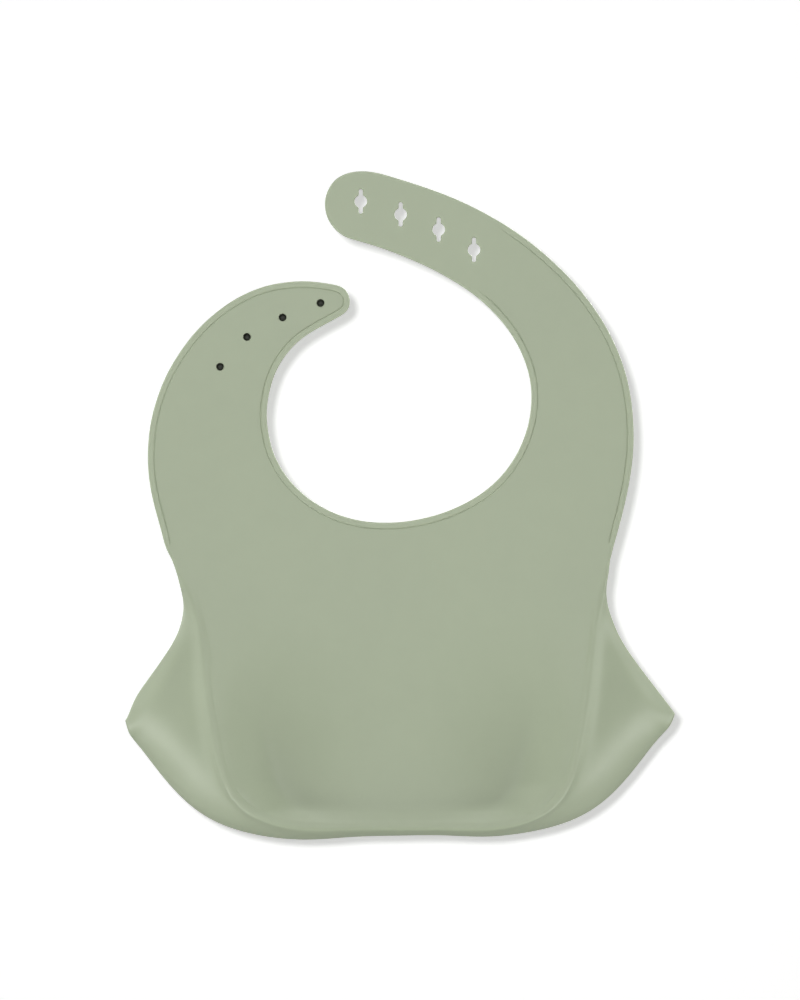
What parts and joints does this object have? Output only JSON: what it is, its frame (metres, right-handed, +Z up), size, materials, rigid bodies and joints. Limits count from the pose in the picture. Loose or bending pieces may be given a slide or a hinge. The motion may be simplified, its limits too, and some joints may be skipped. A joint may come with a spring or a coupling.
{
  "type": "silicone bib",
  "caption": "Moulded silicone baby bib with a catch pocket and an adjustable neck strap that closes with studs in keyholes.",
  "frame": {"origin": "centre of the neck opening, in the middle of the sheet's thickness", "axes": "+Z up from the pocket to the neck straps, -Y towards the pocket at the front, +Y towards the wearer, +X to the wearer's left"},
  "size_m": [0.2382, 0.0545, 0.2891],
  "materials": {
    "silicone": "matte silicone, soft sheen"
  },
  "bodies": {
    "chest_panel": {"chest_panel": "silicone"},
    "lower_panel": {"lower_panel": "silicone", "pocket_floor": "silicone"},
    "pocket_front": {"pocket_front_wall": "silicone"},
    "pocket_gusset_left": {"pocket_gusset_left": "silicone"},
    "pocket_gusset_right": {"pocket_gusset_right": "silicone"},
    "stud_strap_segment_1": {"stud_strap_segment_1": "silicone"},
    "stud_strap_segment_2": {"stud_strap_segment_2": "silicone", "stud_4": "silicone"},
    "stud_strap_segment_3": {"stud_strap_segment_3": "silicone", "stud_3": "silicone"},
    "stud_strap_segment_4": {"stud_strap_segment_4": "silicone", "stud_2": "silicone"},
    "stud_strap_segment_5": {"stud_strap_segment_5": "silicone", "stud_1": "silicone"},
    "keyhole_strap_segment_1": {"keyhole_strap_segment_1": "silicone"},
    "keyhole_strap_segment_2": {"keyhole_strap_segment_2": "silicone"},
    "keyhole_strap_segment_3": {"keyhole_strap_segment_3": "silicone"},
    "keyhole_strap_segment_4": {"keyhole_strap_segment_4": "silicone"},
    "keyhole_strap_segment_5": {"keyhole_strap_segment_5": "silicone"},
    "keyhole_strap_segment_6": {"keyhole_strap_segment_6": "silicone"},
    "keyhole_strap_segment_7": {"keyhole_strap_segment_7": "silicone"},
    "keyhole_strap_segment_8": {"keyhole_strap_segment_8": "silicone"},
    "keyhole_strap_segment_9": {"keyhole_strap_segment_9": "silicone"}
  },
  "joints": [
    {"name": "waist_bend", "type": "hinge", "parent": "chest_panel", "child": "lower_panel", "pos_m": [0, 0, -0.078], "axis": [-1, 0, 0], "range_deg": [-25, 60], "stiffness_Nm_per_rad": 0.0075},
    {"name": "pocket_fold", "type": "hinge", "parent": "lower_panel", "child": "pocket_front", "pos_m": [0, -0.0364, -0.1871], "axis": [-1, 0, 0], "range_deg": [0, 14], "stiffness_Nm_per_rad": 0.02},
    {"name": "gusset_swing_left", "type": "hinge", "parent": "lower_panel", "child": "pocket_gusset_left", "pos_m": [0.08265, 0, -0.122], "axis": [0.1328, 0, 0.9911], "range_deg": [0, 25.2]},
    {"name": "gusset_swing_right", "type": "hinge", "parent": "lower_panel", "child": "pocket_gusset_right", "pos_m": [-0.08265, 0, -0.122], "axis": [0.1328, 0, -0.9911], "range_deg": [0, 25.2]},
    {"name": "stud_strap_curl", "type": "hinge", "parent": "chest_panel", "child": "stud_strap_segment_1", "pos_m": [0.08075, 0, -0.011], "axis": [-0.9992, 0, 0.0405], "range_deg": [-8, 16], "stiffness_Nm_per_rad": 0.0035},
    {"name": "stud_strap_flex_2", "type": "hinge", "parent": "stud_strap_segment_1", "child": "stud_strap_segment_2", "pos_m": [0.07775, 0, 0.002], "axis": [-0.9997, 0, -0.0256], "range_deg": [-8, 16], "stiffness_Nm_per_rad": 0.0035},
    {"name": "stud_strap_flex_3", "type": "hinge", "parent": "stud_strap_segment_2", "child": "stud_strap_segment_3", "pos_m": [0.06975, 0, 0.017], "axis": [-0.972, 0, -0.235], "range_deg": [-8, 16], "stiffness_Nm_per_rad": 0.0035},
    {"name": "stud_strap_flex_4", "type": "hinge", "parent": "stud_strap_segment_3", "child": "stud_strap_segment_4", "pos_m": [0.05865, 0, 0.02855], "axis": [-0.8995, 0, -0.4369], "range_deg": [-8, 16], "stiffness_Nm_per_rad": 0.0035},
    {"name": "stud_strap_flex_5", "type": "hinge", "parent": "stud_strap_segment_4", "child": "stud_strap_segment_5", "pos_m": [0.043, 0, 0.0366], "axis": [-0.7562, 0, -0.6544], "range_deg": [-8, 16], "stiffness_Nm_per_rad": 0.0035},
    {"name": "keyhole_strap_curl", "type": "hinge", "parent": "chest_panel", "child": "keyhole_strap_segment_1", "pos_m": [-0.0793, 0, -0.00825], "axis": [-0.9857, 0, -0.1688], "range_deg": [-6, 12], "stiffness_Nm_per_rad": 0.0035},
    {"name": "keyhole_strap_flex_2", "type": "hinge", "parent": "keyhole_strap_segment_1", "child": "keyhole_strap_segment_2", "pos_m": [-0.07745, 0, 0.0075], "axis": [-0.9997, 0, -0.0236], "range_deg": [-6, 12], "stiffness_Nm_per_rad": 0.0035},
    {"name": "keyhole_strap_flex_3", "type": "hinge", "parent": "keyhole_strap_segment_2", "child": "keyhole_strap_segment_3", "pos_m": [-0.0725, 0, 0.021], "axis": [-0.9888, 0, 0.1491], "range_deg": [-6, 12], "stiffness_Nm_per_rad": 0.0035},
    {"name": "keyhole_strap_flex_4", "type": "hinge", "parent": "keyhole_strap_segment_3", "child": "keyhole_strap_segment_4", "pos_m": [-0.0644, 0, 0.0338], "axis": [-0.9444, 0, 0.3289], "range_deg": [-6, 12], "stiffness_Nm_per_rad": 0.0035},
    {"name": "keyhole_strap_flex_5", "type": "hinge", "parent": "keyhole_strap_segment_4", "child": "keyhole_strap_segment_5", "pos_m": [-0.0532, 0, 0.0459], "axis": [-0.8329, 0, 0.5534], "range_deg": [-6, 12], "stiffness_Nm_per_rad": 0.0035},
    {"name": "keyhole_strap_flex_6", "type": "hinge", "parent": "keyhole_strap_segment_5", "child": "keyhole_strap_segment_6", "pos_m": [-0.0401, 0, 0.0561], "axis": [-0.559, 0, 0.8292], "range_deg": [-6, 12], "stiffness_Nm_per_rad": 0.0035},
    {"name": "keyhole_strap_flex_7", "type": "hinge", "parent": "keyhole_strap_segment_6", "child": "keyhole_strap_segment_7", "pos_m": [-0.0251, 0, 0.0648], "axis": [-0.4021, 0, 0.9156], "range_deg": [-6, 12], "stiffness_Nm_per_rad": 0.0035},
    {"name": "keyhole_strap_flex_8", "type": "hinge", "parent": "keyhole_strap_segment_7", "child": "keyhole_strap_segment_8", "pos_m": [-0.0096, 0, 0.0716], "axis": [-0.3201, 0, 0.9474], "range_deg": [-6, 12], "stiffness_Nm_per_rad": 0.0035},
    {"name": "keyhole_strap_flex_9", "type": "hinge", "parent": "keyhole_strap_segment_8", "child": "keyhole_strap_segment_9", "pos_m": [0.007, 0, 0.0773], "axis": [-0.2986, 0, 0.9544], "range_deg": [-6, 12], "stiffness_Nm_per_rad": 0.0035}
  ],
  "couplings": [
    {"joint": "gusset_swing_left", "follows": "pocket_fold", "ratio": 1.8},
    {"joint": "gusset_swing_right", "follows": "pocket_fold", "ratio": 1.8},
    {"joint": "stud_strap_flex_2", "follows": "stud_strap_curl", "ratio": 1},
    {"joint": "stud_strap_flex_3", "follows": "stud_strap_curl", "ratio": 1},
    {"joint": "stud_strap_flex_4", "follows": "stud_strap_curl", "ratio": 1},
    {"joint": "stud_strap_flex_5", "follows": "stud_strap_curl", "ratio": 1},
    {"joint": "keyhole_strap_flex_2", "follows": "keyhole_strap_curl", "ratio": 1},
    {"joint": "keyhole_strap_flex_3", "follows": "keyhole_strap_curl", "ratio": 1},
    {"joint": "keyhole_strap_flex_4", "follows": "keyhole_strap_curl", "ratio": 1},
    {"joint": "keyhole_strap_flex_5", "follows": "keyhole_strap_curl", "ratio": 1},
    {"joint": "keyhole_strap_flex_6", "follows": "keyhole_strap_curl", "ratio": 1},
    {"joint": "keyhole_strap_flex_7", "follows": "keyhole_strap_curl", "ratio": 1},
    {"joint": "keyhole_strap_flex_8", "follows": "keyhole_strap_curl", "ratio": 1},
    {"joint": "keyhole_strap_flex_9", "follows": "keyhole_strap_curl", "ratio": 1}
  ]
}
